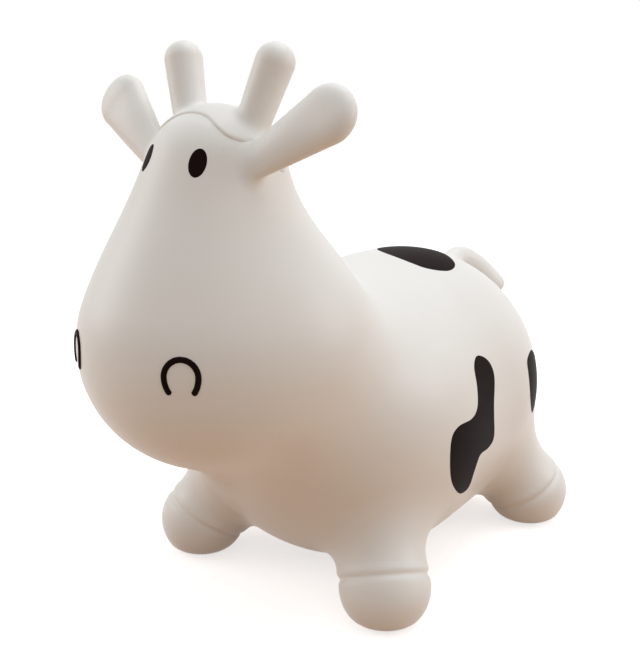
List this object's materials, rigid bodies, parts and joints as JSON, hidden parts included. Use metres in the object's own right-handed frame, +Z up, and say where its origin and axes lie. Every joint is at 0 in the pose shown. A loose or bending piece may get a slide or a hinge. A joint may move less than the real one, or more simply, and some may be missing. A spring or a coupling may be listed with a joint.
{
  "type": "bouncy ride-on animal",
  "caption": "Air-filled soft vinyl cow that a small child sits on and bounces, with ears to hold, stub horns, a hooked tail and splayed hooves.",
  "frame": {"origin": "centre of the overall box on the floor, under the middle of the belly", "axes": "+Z up; the muzzle faces -Y and the tail +Y; +X is the cow's left side"},
  "size_m": [0.3196, 0.5447, 0.4987],
  "materials": {
    "ivory_vinyl": "satin soft vinyl, off-white",
    "black_paint": "satin black vinyl paint",
    "valve_white": "moulded semi-soft plastic",
    "plug_grey": "moulded semi-soft plastic"
  },
  "bodies": {
    "body": {"torso_skin": "ivory_vinyl", "head_skin": "ivory_vinyl", "forelock": "ivory_vinyl", "front_left_leg": "ivory_vinyl", "front_right_leg": "ivory_vinyl", "rear_left_leg": "ivory_vinyl", "rear_right_leg": "ivory_vinyl", "left_ear_root": "ivory_vinyl", "right_ear_root": "ivory_vinyl", "left_horn_root": "ivory_vinyl", "right_horn_root": "ivory_vinyl", "tail_root": "ivory_vinyl", "left_eye": "black_paint", "right_eye": "black_paint", "left_nostril": "black_paint", "right_nostril": "black_paint", "left_flank_patch": "black_paint", "right_flank_patch": "black_paint", "left_hip_patch": "black_paint", "right_hip_patch": "black_paint", "saddle_patch": "black_paint", "valve_bush": "valve_white"},
    "front_left_hoof": {"front_left_hoof": "ivory_vinyl"},
    "front_right_hoof": {"front_right_hoof": "ivory_vinyl"},
    "rear_left_hoof": {"rear_left_hoof": "ivory_vinyl"},
    "rear_right_hoof": {"rear_right_hoof": "ivory_vinyl"},
    "left_ear": {"left_ear": "ivory_vinyl"},
    "right_ear": {"right_ear": "ivory_vinyl"},
    "left_horn": {"left_horn": "ivory_vinyl"},
    "right_horn": {"right_horn": "ivory_vinyl"},
    "tail": {"tail": "ivory_vinyl"},
    "valve_plug": {"valve_plug": "plug_grey"}
  },
  "joints": [
    {"name": "front_left_leg_squash", "type": "slide", "parent": "body", "child": "front_left_hoof", "axis": [0, 0, 1], "range_m": [0, 0.008], "stiffness_N_per_m": 1700, "springref_m": -0.012, "deforming": ["front_left_leg"]},
    {"name": "front_right_leg_squash", "type": "slide", "parent": "body", "child": "front_right_hoof", "axis": [0, 0, 1], "range_m": [0, 0.008], "stiffness_N_per_m": 1700, "springref_m": -0.012, "deforming": ["front_right_leg"]},
    {"name": "rear_left_leg_squash", "type": "slide", "parent": "body", "child": "rear_left_hoof", "axis": [0, 0, 1], "range_m": [0, 0.008], "stiffness_N_per_m": 1700, "springref_m": -0.012, "deforming": ["rear_left_leg"]},
    {"name": "rear_right_leg_squash", "type": "slide", "parent": "body", "child": "rear_right_hoof", "axis": [0, 0, 1], "range_m": [0, 0.008], "stiffness_N_per_m": 1700, "springref_m": -0.012, "deforming": ["rear_right_leg"]},
    {"name": "left_ear_bend", "type": "hinge", "parent": "body", "child": "left_ear", "pos_m": [0.06423, -0.16251, 0.41894], "axis": [-0.5972, 0.265, 0.7571], "range_deg": [-20, 20], "stiffness_Nm_per_rad": 2, "deforming": ["left_ear_root"]},
    {"name": "right_ear_bend", "type": "hinge", "parent": "body", "child": "right_ear", "pos_m": [-0.06423, -0.16251, 0.41894], "axis": [-0.5972, -0.265, -0.7571], "range_deg": [-20, 20], "stiffness_Nm_per_rad": 2, "deforming": ["right_ear_root"]},
    {"name": "left_horn_bend", "type": "hinge", "parent": "body", "child": "left_horn", "pos_m": [0.03696, -0.14184, 0.44995], "axis": [-0.9487, 0, 0.3162], "range_deg": [-15, 15], "stiffness_Nm_per_rad": 1.5, "deforming": ["left_horn_root"]},
    {"name": "right_horn_bend", "type": "hinge", "parent": "body", "child": "right_horn", "pos_m": [-0.03696, -0.14184, 0.44995], "axis": [-0.9487, 0, -0.3162], "range_deg": [-15, 15], "stiffness_Nm_per_rad": 1.5, "deforming": ["right_horn_root"]},
    {"name": "tail_bend", "type": "hinge", "parent": "body", "child": "tail", "pos_m": [0.00282, 0.22134, 0.26396], "axis": [0.9968, -0.0797, 0], "range_deg": [0, 25], "stiffness_Nm_per_rad": 0.8, "deforming": ["tail_root"]},
    {"name": "valve_plug_pull", "type": "slide", "parent": "body", "child": "valve_plug", "axis": [0, 0.5299, -0.848], "range_m": [0, 0.018]}
  ]
}
